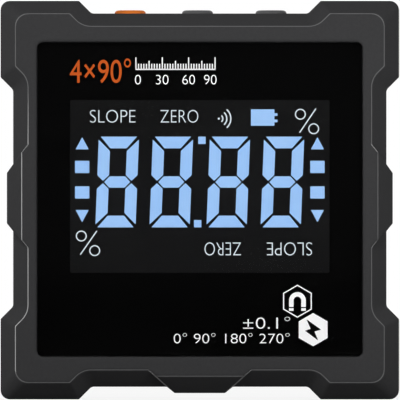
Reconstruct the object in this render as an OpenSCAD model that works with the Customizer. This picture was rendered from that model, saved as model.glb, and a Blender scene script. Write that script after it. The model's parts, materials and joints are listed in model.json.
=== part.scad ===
// Digital angle gauge: a square magnetic tilt meter with corner bumpers, a black
// display window, three push buttons on top and a covered charging socket on one side.
// Sizes are in millimetres. The gauge stands on its bottom bumpers with its middle on
// the Z axis, and the display faces -Y.

/* [Body] */
// Side of the square body, over the faces of the corner bumpers
body_w = 60; // [58:0.5:70]
// Depth of the body, front face to back face
body_d = 28; // [26:0.5:36]
// How deep the sides lie below the bumper faces
recess_depth = 1.9; // [1.3:0.1:2.4]
// Length of each bumper along its side
bumper_len = 11.8; // [11:0.1:13]
// Slope of the bumper ends, in degrees
bumper_angle = 45; // [35:1:60]
// How far the bumper ends lean towards the corners across the bevel, in degrees
bumper_lean = 31; // [20:1:40]
// Length of the middle pads at their tops
pad_len = 7.6; // [6:0.1:9]
// Height of the middle pads over the recessed sides
pad_height = 0.95; // [0.5:0.05:1.2]
// Slope of the pad ends, in degrees
pad_angle = 39; // [35:1:60]
// How far the bumpers and pads of the left and right sides sit above the middle
side_rise = 0.3; // [0:0.1:0.6]
// Radius of the four outer corners
corner_r = 1.4; // [1:0.1:2.5]
// Radius of the four corners of the front and back faces
face_corner_r = 1.9; // [1:0.1:2.5]
// Radius of the inner corners between bumper ends and recessed sides
notch_r = 0.9; // [0.5:0.1:1.5]
// Width of the bevel round the front and back faces
bevel_in = 2.25; // [1.8:0.05:2.5]
// Depth of that bevel
bevel_h = 3; // [2.4:0.1:3.2]
// How far the front and back faces sit above the middle of the outline
bezel_rise = 0.3; // [0:0.05:0.4]
// Rounding between the sides and the bevel
rim_r = 0.5; // [0.3:0.1:0.8]
// Rounding between the bevel and the flat front face
bezel_r = 0.4; // [0.2:0.05:0.6]
// Thickness of the walls at the recessed sides
wall = 2; // [1.6:0.1:2.6]
// Thickness of the back cover, as far as the seam
cover_t = 4; // [3.8:0.1:5]
// Small bevel on both edges of the seam
seam_edge = 0.15; // [0.1:0.05:0.25]

/* [Display] */
// Width of the frame left and right of the black lens
lens_beside = 5.6; // [5.2:0.1:8]
// Width of the frame above and below the lens
lens_over = 6.45; // [5.8:0.05:9]
// How far the lens sits above the middle
lens_rise = 0.1; // [0:0.05:0.3]
// Thickness of the lens
lens_t = 1.5; // [1:0.1:2]
// Depth of the lens face below the front face
lens_sink = 0.3; // [0.1:0.05:0.6]
// Corner radius of the lens
lens_r = 0.8; // [0.5:0.1:3]
// Gap round the lens in its pocket
lens_gap = 0.1; // [0.05:0.05:0.2]
// Bevel round the mouth of the lens pocket
window_edge = 0.15; // [0.1:0.05:0.3]
// Thickness of the adhesive tape behind the lens
tape_t = 0.2; // [0.1:0.05:0.4]
// Width of that tape
tape_w = 1.1; // [0.8:0.1:1.4]
// Thickness of the ledge that carries the lens
ledge_t = 1.2; // [0.8:0.1:2]
// Width of the black edge left and right of the display glass
lcd_beside = 2.9; // [2.9:0.1:6]
// Width of the black edge above the display glass
lcd_above = 6.4; // [5.6:0.1:9]
// Width of the black edge below the display glass
lcd_below = 10.3; // [7:0.1:12]
// Thickness of the display glass
lcd_t = 2; // [1.4:0.1:2.6]
// Gap between the lens and the display glass
lcd_gap = 0.3; // [0.25:0.05:0.6]
// Thickness of the light panel behind the display glass
backlight_t = 2.4; // [1.8:0.1:3]
// Wall thickness of the display frame
frame_wall = 1.2; // [0.8:0.1:1.3]
// Width of the rubber contact strips above and below the light panel
strip_w = 1.6; // [1.2:0.1:2.2]

/* [Buttons] */
// Width of a push button along the top side
key_w = 4.7; // [4:0.1:5.4]
// Length of a push button from front to back
key_l = 8; // [6:0.1:9]
// Height of the buttons above the recessed top side
key_proud = 0.54; // [0.4:0.02:1]
// Rounding at the edge of a button's top
key_round = 0.6; // [0.3:0.05:0.8]
// Gap round a button in its opening
key_gap = 0.15; // [0.1:0.05:0.3]
// Distance of the orange button from the middle, to the left
key_left = 10.5; // [9.5:0.05:11]
// Distance of the middle button from the middle, to the left
key_middle = 0.35; // [0:0.05:0.6]
// Distance of the right button from the middle, to the right
key_right = 10.75; // [9.5:0.05:11]
// Width of the collar that keeps a button in
key_collar = 0.7; // [0.5:0.1:1]
// Thickness of that collar
collar_t = 1; // [0.8:0.1:1.4]
// Thickness of the rubber seal under the top wall
seal_t = 0.8; // [0.5:0.1:1.2]
// How far a button can be pressed
key_travel = 0.3; // [0.2:0.05:0.4]
// Width of a switch body
switch_w = 6; // [5:0.1:7]
// Height of a switch body off the board
switch_h = 3.5; // [3:0.1:4]
// Length of a switch body along the press direction
switch_l = 3.6; // [3:0.1:5]
// Radius of a switch plunger
plunger_r = 1.1; // [0.8:0.05:1.3]
// How far a plunger stands out of its switch
plunger_out = 0.9; // [0.7:0.05:1.2]

/* [Inside] */
// Thickness of the circuit board
board_t = 1.4; // [1:0.1:2]
// Gap between the board and the side walls
board_gap = 1; // [0.6:0.1:1.2]
// Radius of the corner posts that take the housing screws
post_r = 3; // [2.6:0.1:3.2]
// Distance of a corner post's middle from the inner walls
post_in = 2.7; // [2.2:0.1:2.8]
// Shank radius of the housing screws
screw_r = 1.1; // [0.8:0.05:1.3]
// Length of the housing screws under the head
screw_len = 9; // [7:0.5:14]
// Head radius of the housing screws
screw_head_r = 2; // [1.6:0.1:2.2]
// Head height of the housing screws
screw_head_h = 1.4; // [1:0.1:1.7]
// Radius of the board posts
stud_r = 1.8; // [1.6:0.1:2]
// Shank radius of the board screws
board_screw_r = 0.8; // [0.6:0.05:0.9]
// Head radius of the board screws
board_head_r = 1.6; // [1.2:0.1:1.9]
// Distance of the board screws from the middle, left and right
stud_x = 16.5; // [15.5:0.1:18]
// Gap between the board posts and the display frame
stud_gap = 0.4; // [0.35:0.05:0.8]
// Distance of the lower board screws from the board's lower edge
stud_edge = 4.6; // [3:0.1:6]
// Side of the processor chip
chip_w = 7; // [5:0.1:10]
// Side of the tilt sensor
sensor_w = 3; // [2:0.1:5]
// Height of both chips
chip_h = 1; // [0.6:0.1:1.6]
// Width of the battery plug on the board
plug_w = 4.4; // [3.6:0.1:6]
// Length of the battery plug on the board
plug_l = 4; // [3:0.1:6]
// Height of the battery plug off the board
plug_h = 3; // [2:0.1:4]
// Radius of the battery leads
lead_r = 0.4; // [0.3:0.05:0.6]
// Length of the battery cell
cell_l = 32; // [24:0.5:34]
// Width of the battery cell
cell_w = 22; // [16:0.5:24]
// Thickness of the battery cell
cell_t = 5; // [3:0.1:6]
// Height of the rib frame round the battery cell
cell_rib = 3; // [1.5:0.1:4]
// Radius of the buzzer
buzzer_r = 4.5; // [3:0.1:5]
// Height of the buzzer
buzzer_h = 4; // [2:0.1:5]
// Depth of the groove for the sealing ring
groove_h = 0.8; // [0.5:0.1:1.2]
// Width of the groove for the sealing ring
groove_w = 0.9; // [0.6:0.1:1]

/* [Magnets] */
// Radius of a disc magnet
magnet_r = 3.5; // [2.5:0.1:3.8]
// Thickness of a disc magnet
magnet_t = 2.4; // [1.5:0.1:2.6]
// Depth of the magnets below the bumper faces
magnet_sink = 0.1; // [0.05:0.05:0.3]
// Distance of a magnet's middle from the corner of the body
magnet_in = 7; // [6.6:0.1:7.5]

/* [Charging socket] */
// Width of the socket's metal shell
usb_w = 8.94; // [8.8:0.02:9.1]
// Height of the socket's metal shell
usb_h = 3.26; // [3.1:0.02:3.4]
// Length of the socket's metal shell
usb_l = 7.3; // [6.5:0.1:9]
// Wall thickness of the socket's metal shell
usb_wall = 0.3; // [0.2:0.02:0.34]
// Thickness of the rubber cover's plate
cap_t = 1; // [0.7:0.1:1.2]
// Width of the cover's plate up and down
cap_w = 10; // [9.8:0.1:10.4]
// Margin of the cover's plate beyond the socket and the tether, front and back
cap_margin = 2.5; // [2.2:0.1:3]
// Distance from the socket's middle to the tether's middle
tether_at = 4.2; // [4:0.1:5]
// Radius of the tether
tether_r = 0.9; // [0.7:0.05:1]
// How far the cover pulls out
cap_travel = 5; // [4:0.1:6]

/* [Hidden] */
$fn = 48;
half = body_w / 2;
front_z = body_d / 2;
back_z = -body_d / 2;
seam_z = back_z + cover_t;
floor_v = half - recess_depth;
cavity = floor_v - wall;
cavity_r = 2.5;
post_at = cavity - post_in;
lens_w = body_w - 2 * lens_beside;
lens_h = body_w - 2 * lens_over;
lens_front = front_z - lens_sink;
lens_back = lens_front - lens_t;
ledge_front = lens_back - tape_t;
cavity_front = ledge_front - ledge_t;
lcd_w = lens_w - 2 * lcd_beside;
lcd_h = lens_h - lcd_above - lcd_below;
lcd_rise = lens_rise + (lcd_below - lcd_above) / 2;
lcd_front = lens_back - lcd_gap;
lcd_back = lcd_front - lcd_t;
board_front = lcd_back - backlight_t;
board_back = board_front - board_t;
lip_t = 0.15;
lip_over = 1;
frame_w = lcd_w + 2 * frame_wall + 0.3;
frame_h = lcd_h + 2 * frame_wall + 0.3;
window_w = frame_w + 0.6;
window_h = frame_h + 0.6;
segment_t = 0.05;
grid = lcd_w / 43;
digit_h = 13.65 * grid;
digit_w = 6.05 * grid;
bar_w = 1.76 * grid;
digit_gap = 0.3 * grid;
digit_pitch = 8.14 * grid;
pair_at = 8.36 * grid;
digit_rise = lcd_rise + 0.68 * grid;
digit_slant = 2.2;
point_w = 1.1 * grid;
column_at = 17.7 * grid;
collar_top = cavity - seal_t;
collar_low = collar_top - collar_t;
switch_top = collar_low - plunger_out;
board_top = switch_top - 0.1;
board_half = cavity - board_gap;
key_z = board_back - switch_h / 2;
key_at = [-key_left, -key_middle, key_right];
key_shoulder = 0.75 * key_round;
stud_top = lcd_rise + frame_h / 2 + stud_r + stud_gap;
stud_low = -board_half + stud_edge;
stud_pilot = 2.7;
thread_gap = 0.02;
board_head_h = 1.1;
end_u = half - bumper_len - recess_depth / tan(bumper_angle);
pad_foot = pad_len / 2 + pad_height / tan(pad_angle);
usb_y = side_rise - (end_u + pad_foot) / 2;
usb_z = board_back - usb_h / 2;
usb_mouth = cavity + 0.4;
usb_r = 1.2;
usb_gap = 0.12;
tether_z = usb_z - tether_at;
cap_l = tether_at + 2 * cap_margin;
cap_z = (usb_z + tether_z) / 2;
cap_r = 1.6;
barb_r = tether_r + 0.5;
barb_l = 1.2;
tether_end = cavity - cap_travel - barb_l - 0.3;
lip_gap = 0.15;
lip_wall = 1.2;
lip_h = 2.2;
lip_half = cavity - lip_gap;
lip_len = 2 * (post_at - post_r - 1.2);
inner_half = lip_half - lip_wall;
cover_floor = back_z + 2.2;
pad_foam_t = 0.5;
cell_x = -4;
cell_y = 3;
cell_z0 = cover_floor + pad_foam_t;
cell_z1 = cell_z0 + cell_t;
chip_x = -board_half + 17.6 * chip_w / 7;
chip_y = -5.5 * chip_w / 7;
plug_x = board_half - 8.1 * plug_w / 4.4;
plug_y = plug_l;
buzzer_x = -board_half + 2.25 * buzzer_r;
buzzer_y = chip_y - 1.65 * buzzer_r;
groove_mid = cavity + wall / 2;
sides = [0, 1, 2, 3];
housing_colour = [0.23, 0.23, 0.24];
metal_colour = [0.72, 0.73, 0.75];
silicone_colour = [0.16, 0.16, 0.17];

// Unit vector along v
function unit(v) = v / norm(v);

// Flat vector v turned by an angle
function turned(v, angle) = [v.x * cos(angle) - v.y * sin(angle), v.x * sin(angle) + v.y * cos(angle)];

// Points of an arc of radius r that rounds the corner at b on the way from a to c
function arc_at(a, b, c, r, steps) =
    let (
        to_a = unit(a - b),
        to_c = unit(c - b),
        open = acos(to_a * to_c) / 2,
        middle = b + unit(to_a + to_c) * r / sin(open),
        start = b + to_a * r / tan(open) - middle,
        way = to_a.x * to_c.y - to_a.y * to_c.x > 0 ? -1 : 1
    )
    [for (i = [0 : steps]) middle + turned(start, way * (180 - 2 * open) * i / steps)];

// Closed outline whose corners, given as [x, y, radius, steps], are all rounded
function rounded(corners) =
    let (n = len(corners))
    [for (i = [0 : n - 1])
        let (a = corners[(i + n - 1) % n], b = corners[i], c = corners[(i + 1) % n])
        each arc_at([a.x, a.y], [b.x, b.y], [c.x, c.y], b[2], b[3])];

// Half of a side's corners: bumper end and recess, then the foot and top of its pad,
// for an outline that lies d inside the outermost one
function half_side(d, with_pad) =
    let (
        end = half - bumper_len + d * tan(bumper_lean),
        low = floor_v - d,
        foot = pad_len / 2 + (pad_height + d) / tan(pad_angle),
        top = pad_len / 2 + d / tan(pad_angle)
    )
    concat(
        [[end, half - d, 0.3, 3], [end - recess_depth / tan(bumper_angle), low, notch_r + d, 5]],
        with_pad ? [[foot, low, 0.3, 2], [top, low + pad_height, 0.3, 2]] : []
    );

// All corners of one side from left to right, then the body corner that follows it
function side_corners(d, with_pad, shift) =
    let (right = half_side(d, with_pad), n = len(right))
    concat(
        [for (c = right) [shift - c.x, c.y, c[2], c[3]]],
        [for (i = [n - 1 : -1 : 0]) [shift + right[i].x, right[i].y, right[i][2], right[i][3]]],
        [[half - d, half - d, corner_r + (face_corner_r - corner_r) * d / bevel_in, 6]]
    );

// Outline of the body, d inside the outermost one, moved up by rise
function body_outline(d, rise) =
    let (corners = [for (k = sides)
        let (shift = [0, side_rise, 0, -side_rise][k])
        each [for (c = side_corners(d, k != 2, shift))
            concat(turned([c.x, -c.y], 90 * k), [c[2], c[3]])]])
    [for (p = rounded(corners)) p + [0, rise]];

// Round of points for a slot w wide and l long at height z
function slot_ring(w, l, z) =
    let (r = w / 2, reach = l / 2 - r)
    [for (i = [0 : 31])
        let (angle = (i + 0.5) * 360 / 32)
        [r * cos(angle), r * sin(angle) + sign(sin(angle)) * reach, z]];

// Round of points for a rounded rectangle at height z
function frame_ring(w, h, r, z) =
    [for (p = rounded([[w / 2, -h / 2, r, 4], [w / 2, h / 2, r, 4],
        [-w / 2, h / 2, r, 4], [-w / 2, -h / 2, r, 4]])) [p.x, p.y, z]];

// Skin through a stack of rings with equal numbers of points, closed at both ends
module skin(rings) {
    n = len(rings[0]);
    last = len(rings) - 1;
    low_z = rings[0][0].z;
    top_z = rings[last][0].z;
    points = concat([for (ring = rings) each ring], [[0, 0, low_z], [0, 0, top_z]]);
    low = n * (last + 1);
    walls = [for (k = [0 : last - 1], i = [0 : n - 1])
        let (j = (i + 1) % n)
        [n * k + i, n * (k + 1) + i, n * (k + 1) + j, n * k + j]];
    ends = [for (i = [0 : n - 1])
        let (j = (i + 1) % n)
        each [[low, i, j], [low + 1, n * last + j, n * last + i]]];
    polyhedron(points, concat(walls, ends));
}

// Body form from the seam up to a bevelled, flat face at height top
module body_form(seam, top) {
    outer = body_outline(0, 0);
    inner = body_outline(bevel_in, bezel_rise);
    bevel_start = top - bevel_h;
    section = concat(
        [[seam_edge, seam], [0, seam + 1.5 * seam_edge]],
        arc_at([0, seam], [0, bevel_start], [bevel_in, top], rim_r, 3),
        arc_at([0, bevel_start], [bevel_in, top], [bevel_in + 1, top], bezel_r, 4)
    );
    skin([for (s = section)
        [for (i = [0 : len(outer) - 1])
            let (p = outer[i] + (inner[i] - outer[i]) * s.x / bevel_in)
            [p.x, p.y, s.y]]]);
}

// Sets a piece drawn in the plane of the display upright
module stand() translate([0, 0, half]) rotate([90, 0, 0]) children();

// Turns a piece drawn upwards so that it points to the top side
module to_top() rotate([-90, 0, 0]) children();

// Turns a piece drawn upwards so that it points to the right side
module to_right() rotate([0, 90, 0]) children();

module rounded_square(w, h, r) {
    square([w - 2 * r, h], center = true);
    square([w, h - 2 * r], center = true);
    for (x = [-1, 1], y = [-1, 1]) translate([x * (w / 2 - r), y * (h / 2 - r)]) circle(r);
}

// Rounded plate from height z0 to z1
module plate(w, h, r, z0, z1) translate([0, 0, z0]) linear_extrude(z1 - z0) rounded_square(w, h, r);

module slot(w, l) {
    square([w, l - w], center = true);
    for (y = [-1, 1]) translate([0, y * (l - w) / 2]) circle(w / 2);
}

module block(x0, x1, y0, y1, z0, z1) translate([x0, y0, z0]) cube([x1 - x0, y1 - y0, z1 - z0]);

module rod(r, z0, z1) translate([0, 0, z0]) cylinder(r = r, h = z1 - z0);

module at_corners(d) for (x = [-d, d], y = [-d, d]) translate([x, y, 0]) children();

module at_studs() for (x = [-stud_x, stud_x], y = [stud_low, stud_top]) translate([x, y, 0]) children();

module at_keys() for (x = key_at) translate([x, 0, key_z]) children();

// Magnet places of side k, drawn so that the side's outward direction is up
module at_magnets(k)
    rotate([0, 0, 90 * k])
        for (u = [-1, 1]) translate([u * (half - magnet_in), -half, 0]) rotate([90, 0, 0]) children();

// Space inside the housing, with the corner posts and board posts left standing
module housing_space() {
    difference() {
        plate(2 * cavity, 2 * cavity, cavity_r, seam_z - 1, cavity_front);
        at_corners(post_at) rod(post_r, seam_z - 2, cavity_front + 1);
        at_studs() rod(stud_r, board_front, cavity_front + 1);
    }
    at_corners(post_at) rod(screw_r + thread_gap, seam_z - 1, seam_z + screw_len);
    at_studs() rod(board_screw_r + thread_gap, board_front - 1, board_front + stud_pilot);
}

// Openings in the front: lens pocket with its bevelled mouth, and the display window
module window_space() {
    w = lens_w + 2 * lens_gap;
    h = lens_h + 2 * lens_gap;
    r = lens_r + lens_gap;
    flare = 2 * window_edge + 0.2;
    translate([0, lens_rise, 0]) {
        plate(w, h, r, ledge_front, front_z + 1);
        skin([frame_ring(w - 0.3, h - 0.3, r, front_z - window_edge - 0.15),
            frame_ring(w + flare, h + flare, r + window_edge, front_z + 0.1)]);
    }
    translate([0, lcd_rise, 0]) plate(window_w, window_h, 1, cavity_front - 1, front_z);
}

// Openings in the right side for the charging socket, its cover and the tether
module port_space() {
    translate([floor_v, usb_y, cap_z]) to_right() plate(cap_l + 0.2, cap_w + 0.2, cap_r + 0.1, -cap_t, 1);
    translate([0, usb_y, usb_z]) to_right()
        plate(usb_h + 2 * usb_gap, usb_w + 2 * usb_gap, usb_r + usb_gap, cavity - 1, floor_v);
    translate([0, usb_y, tether_z]) to_right() rod(tether_r + 0.1, cavity - 1, floor_v);
    translate([floor_v + 0.4, usb_y, cap_z - cap_l / 2]) sphere(1.3);
}

module front_housing() color(housing_colour) stand() difference() {
    body_form(seam_z, front_z);
    housing_space();
    window_space();
    port_space();
    translate([0, cavity - 1, 0]) at_keys() to_top()
        linear_extrude(half - cavity + 2) slot(key_w + 2 * key_gap, key_l + 2 * key_gap);
    for (k = sides) at_magnets(k) rod(magnet_r + thread_gap, -magnet_t - magnet_sink, 1);
}

// Back cover: bevelled plate with a locating lip, a rib frame for the battery, the groove
// for the sealing ring and four sunk screw holes
module rear_cover() color(housing_colour) stand() difference() {
    union() {
        mirror([0, 0, 1]) body_form(-seam_z, -back_z);
        for (k = sides) rotate([0, 0, 90 * k])
            block(-lip_len / 2, lip_len / 2, inner_half, lip_half, seam_z - 1, seam_z + lip_h);
    }
    difference() {
        plate(2 * inner_half, 2 * inner_half, cavity_r, cover_floor, seam_z + lip_h + 1);
        at_corners(post_at) rod(post_r + 0.2, cover_floor - 1, seam_z);
        translate([cell_x, cell_y, 0]) difference() {
            plate(cell_l + 2.8, cell_w + 2.8, 1.4, cover_floor - 1, cover_floor + cell_rib);
            plate(cell_l + 0.4, cell_w + 0.4, 0.6, cover_floor - 2, cover_floor + cell_rib + 1);
            plate(cell_l + 4, cell_w - 10, 0.6, cover_floor, cover_floor + cell_rib + 1);
        }
    }
    difference() {
        plate(2 * groove_mid + groove_w, 2 * groove_mid + groove_w, 3, seam_z - groove_h, seam_z + 1);
        plate(2 * groove_mid - groove_w, 2 * groove_mid - groove_w, 2.1, seam_z - 2, seam_z + 2);
    }
    at_corners(post_at) {
        rod(screw_r + 0.1, back_z - 1, seam_z + 1);
        rod(screw_head_r + 0.15, back_z - 1, back_z + screw_head_h + 0.2);
    }
}

module housing_seal() color(silicone_colour) stand() difference() {
    plate(2 * groove_mid + groove_w - 0.1, 2 * groove_mid + groove_w - 0.1, 2.95, seam_z - groove_h, seam_z);
    plate(2 * groove_mid - groove_w + 0.1, 2 * groove_mid - groove_w + 0.1, 2.15, seam_z - 2, seam_z + 2);
}

// Cross-recessed pan-head screw, head down, with its shank upwards from height 0
module screw(r, length, head_r, head_h) {
    rod(r, -0.1, length);
    difference() {
        rod(head_r, -head_h, 0);
        for (a = [0, 90]) rotate(a) translate([0, 0, -head_h])
            cube([1.2 * head_r, 0.3 * head_r, 1.1 * head_h], center = true);
    }
}

module housing_screws() color(metal_colour) stand()
    at_corners(post_at) translate([0, 0, back_z + screw_head_h + 0.2])
        screw(screw_r, screw_len, screw_head_r, screw_head_h);

module display_lens() color([0.02, 0.02, 0.02]) stand() translate([0, lens_rise, 0])
    plate(lens_w, lens_h, lens_r, lens_back, lens_front);

module lens_tape() color([0.1, 0.1, 0.1]) stand() translate([0, lens_rise, 0]) difference() {
    plate(lens_w - 0.2, lens_h - 0.2, lens_r, ledge_front, lens_back);
    plate(lens_w - 0.2 - 2 * tape_w, lens_h - 0.2 - 2 * tape_w, 0.5, ledge_front - 1, lens_back + 1);
}

module lcd_panel() color([0.06, 0.06, 0.07]) stand() translate([0, lcd_rise, 0])
    plate(lcd_w, lcd_h, 0.4, lcd_back, lcd_front);

// One display bar lying across, with mitred ends: top bar of a figure
module top_bar() polygon([[-digit_w / 2 + digit_gap, digit_h / 2], [digit_w / 2 - digit_gap, digit_h / 2],
    [digit_w / 2 - digit_gap - 0.85 * bar_w, digit_h / 2 - bar_w],
    [-digit_w / 2 + digit_gap + 0.85 * bar_w, digit_h / 2 - bar_w]]);

// Upper left bar of a figure, pointed at its lower end
module side_bar() polygon([[-digit_w / 2, digit_h / 2 - 1.5 * digit_gap], [-digit_w / 2, 0.58 * bar_w],
    [-digit_w / 2 + bar_w / 2, 0.1 * bar_w], [-digit_w / 2 + bar_w, 0.58 * bar_w],
    [-digit_w / 2 + bar_w, digit_h / 2 - 1.35 * digit_gap - bar_w]]);

// Middle bar of a figure, pointed at both ends
module middle_bar() {
    tip = digit_w / 2 - bar_w / 2 - 0.65 * digit_gap;
    polygon([[-tip, 0], [-tip + 0.44 * bar_w, -0.485 * bar_w], [tip - 0.44 * bar_w, -0.485 * bar_w],
        [tip, 0], [tip - 0.44 * bar_w, 0.485 * bar_w], [-tip + 0.44 * bar_w, 0.485 * bar_w]]);
}

module figure_eight() multmatrix([[1, tan(digit_slant), 0, 0], [0, 1, 0, 0], [0, 0, 1, 0], [0, 0, 0, 1]])
    linear_extrude(segment_t) {
        for (y = [0, 1]) mirror([0, y]) {
            top_bar();
            for (x = [0, 1]) mirror([x, 0]) side_bar();
        }
        middle_bar();
    }

// Two squares between two arrows, drawn round the middle of the column
module arrow_column() linear_extrude(segment_t) for (y = [0, 1]) mirror([0, y]) {
    translate([0, 1.92 * grid]) square([2.15, 1.84] * grid, center = true);
    polygon([[-0.98, 4.56] * grid, [0.98, 4.56] * grid, [0, 6.4] * grid]);
}

// Lit marks of the display: four figures, two points and two columns of arrows and squares
module lcd_segments() color([0.62, 0.8, 1]) stand() translate([0, 0, lcd_front]) {
    for (pair = [-1, 1], k = [-1, 1])
        translate([pair * pair_at + k * digit_pitch / 2, digit_rise, 0]) figure_eight();
    for (y = [-1, 1]) translate([y * 0.32 * grid, digit_rise + y * (digit_h - point_w) / 2, 0])
        linear_extrude(segment_t) square([point_w, point_w], center = true);
    for (x = [-1, 1]) translate([x * column_at, digit_rise + 0.35 * grid, 0]) arrow_column();
}

// Open frame that holds the display glass and the light panel on the board
module lcd_frame() color([0.85, 0.85, 0.83]) stand() translate([0, lcd_rise, 0]) difference() {
    plate(frame_w, frame_h, 0.8, board_front, lcd_front + lip_t);
    plate(lcd_w + 0.3, lcd_h + 0.3, 0.4, board_front - 1, lcd_front);
    plate(lcd_w - 2 * lip_over, lcd_h - 2 * lip_over, 0.4, lcd_front - 1, lcd_front + 1);
}

module backlight_panel() color([0.92, 0.94, 0.96]) stand() translate([0, lcd_rise, 0])
    plate(lcd_w - 0.4, lcd_h - 2 * strip_w - 0.8, 0.3, board_front, lcd_back);

module contact_strips() color([0.75, 0.4, 0.5]) stand() for (y = [-1, 1])
    translate([0, lcd_rise + y * (lcd_h - strip_w) / 2, 0])
        block(-lcd_w / 2 + 1.5, lcd_w / 2 - 1.5, -strip_w / 2, strip_w / 2, board_front, lcd_back);

module main_board() color([0.1, 0.33, 0.2]) stand() difference() {
    block(-board_half, board_half, -board_half, board_top, board_back, board_front);
    at_corners(post_at) rod(post_r + 0.4, board_back - 1, board_front + 1);
    for (x = [-1, 1], y = [-1, 1]) translate([x * cavity, y * cavity, 0])
        block(-post_in, post_in, -post_in, post_in, board_back - 1, board_front + 1);
    at_studs() rod(board_screw_r + 0.12, board_back - 1, board_front + 1);
}

module board_screws() color(metal_colour) stand() at_studs() translate([0, 0, board_back])
    screw(board_screw_r, board_t + stud_pilot - 0.3, board_head_r, board_head_h);

module processor_chip() color([0.1, 0.1, 0.11]) stand() difference() {
    translate([chip_x, chip_y, 0])
        block(-chip_w / 2, chip_w / 2, -chip_w / 2, chip_w / 2, board_back - chip_h, board_back);
    translate([chip_x + 0.35 * chip_w, chip_y + 0.35 * chip_w, 0])
        rod(0.07 * chip_w, board_back - 1.5 * chip_h, board_back - 0.8 * chip_h);
}

module tilt_sensor() color([0.2, 0.2, 0.22]) stand() translate([sensor_w, chip_y, 0])
    block(-sensor_w / 2, sensor_w / 2, -sensor_w / 2, sensor_w / 2, board_back - chip_h, board_back);

module buzzer() color([0.12, 0.12, 0.12]) stand() translate([buzzer_x, buzzer_y, 0]) difference() {
    rod(buzzer_r, board_back - buzzer_h, board_back);
    rod(0.2 * buzzer_r, board_back - 1.25 * buzzer_h, board_back - 0.75 * buzzer_h);
}

// Switch body number k on the board's back, with the bore its plunger runs in
module switch_body(k) color([0.15, 0.15, 0.16]) stand() translate([key_at[k], 0, 0]) difference() {
    block(-switch_w / 2, switch_w / 2, switch_top - switch_l, switch_top, board_back - switch_h, board_back);
    translate([0, 0, key_z]) to_top() rod(plunger_r + 0.05, switch_top - 0.8 * switch_l, switch_top + 1);
}

module power_switch() switch_body(0);

module hold_switch() switch_body(1);

module zero_switch() switch_body(2);

// Plunger number k, from the free space in its switch up to the button's collar
module plunger(k) color([0.9, 0.9, 0.88]) stand() translate([key_at[k], 0, key_z]) to_top()
    rod(plunger_r, switch_top - 0.8 * switch_l + key_travel + 0.3, collar_low);

module power_plunger() plunger(0);

module hold_plunger() plunger(1);

module zero_plunger() plunger(2);

module button_seal() color(silicone_colour) stand() translate([0, collar_top, 0]) difference() {
    translate([(key_right - key_left) / 2, 0, key_z]) to_top()
        plate(key_left + key_right + key_w + 5, key_l + 3, 1.5, 0, seal_t);
    at_keys() to_top() translate([0, 0, -1])
        linear_extrude(seal_t + 2) slot(key_w + 2 * key_gap, key_l + 2 * key_gap);
}

// Button number k: flat cap with round shoulders through the top wall, with its collar inside
module key(k, paint) color(paint) stand() translate([key_at[k], 0, key_z]) to_top() {
    translate([0, 0, collar_low])
        linear_extrude(collar_t) slot(key_w + 2 * key_collar, key_l + 2 * key_collar);
    skin(concat([slot_ring(key_w, key_l, collar_low + collar_t / 2)],
        [for (a = [0 : 22.5 : 90])
            let (in = 2 * key_round * (1 - cos(a)))
            slot_ring(key_w - in, key_l - in, floor_v + key_proud - key_shoulder * (1 - sin(a)))]));
}

module power_button() key(0, [0.86, 0.44, 0.16]);

module hold_button() key(1, [0.38, 0.38, 0.39]);

module zero_button() key(2, [0.38, 0.38, 0.39]);

module usb_shell() color(metal_colour) stand() translate([0, usb_y, usb_z]) to_right() difference() {
    plate(usb_h, usb_w, usb_r, usb_mouth - usb_l, usb_mouth);
    plate(usb_h - 2 * usb_wall, usb_w - 2 * usb_wall, usb_r - usb_wall,
        usb_mouth - usb_l - 1, usb_mouth + 1);
}

module usb_tongue() color([0.12, 0.12, 0.12]) stand() translate([0, usb_y, usb_z]) to_right() {
    plate(usb_h - 2 * usb_wall - 0.04, usb_w - 2 * usb_wall - 0.04, usb_r - usb_wall - 0.02,
        usb_mouth - usb_l, usb_mouth - usb_l + 1.5);
    block(-0.35, 0.35, -3.3, 3.3, usb_mouth - usb_l + 1, usb_mouth - 0.7);
}

// Rubber cover of the charging socket: plate, slotted plug and barbed tether in one piece
module port_cover() color(silicone_colour) stand() translate([0, usb_y, 0]) {
    plug_end = usb_mouth - 2.2;
    bed = floor_v - cap_t;
    translate([0, 0, cap_z]) to_right() plate(cap_l, cap_w, cap_r, bed, floor_v);
    translate([0, 0, usb_z]) to_right() {
        plate(usb_h - 0.1, usb_w - 0.1, usb_r, usb_mouth + 0.1, bed + 0.2);
        difference() {
            plate(usb_h - 2 * usb_wall - 0.4, usb_w - 2 * usb_wall - 0.4, 0.8, plug_end, usb_mouth + 0.3);
            block(-0.55, 0.55, -3.6, 3.6, plug_end - 1, usb_mouth - 0.5);
        }
    }
    translate([0, 0, tether_z]) to_right() {
        rod(tether_r, tether_end + 0.5 * barb_l, bed + 0.2);
        translate([0, 0, tether_end]) cylinder(r1 = tether_r * 0.6, r2 = barb_r, h = barb_l);
    }
}

module battery_cell() color([0.75, 0.77, 0.8]) stand() translate([cell_x, cell_y, 0]) {
    plate(cell_l - 2, cell_w, 1.2, cell_z0, cell_z1);
    plate(cell_l, cell_w - 2, 0.4, cell_z0 + 0.3 * cell_t, cell_z1 - 0.4 * cell_t);
}

module battery_pad() color([0.2, 0.2, 0.2]) stand() translate([cell_x, cell_y, 0])
    plate(cell_l - 6, cell_w - 6, 0.5, cover_floor, cell_z0);

module battery_plug() color([0.93, 0.91, 0.85]) stand() difference() {
    translate([plug_x, plug_y, board_back])
        block(-plug_w / 2, plug_w / 2, -plug_l / 2, plug_l / 2, -plug_h, 0);
    translate([plug_x, plug_y, board_back])
        block(0.6 - plug_w / 2, plug_w / 2 - 0.6, 0.3 * plug_l, 0.8 * plug_l, 0.6 - plug_h, -0.6);
}

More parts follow.
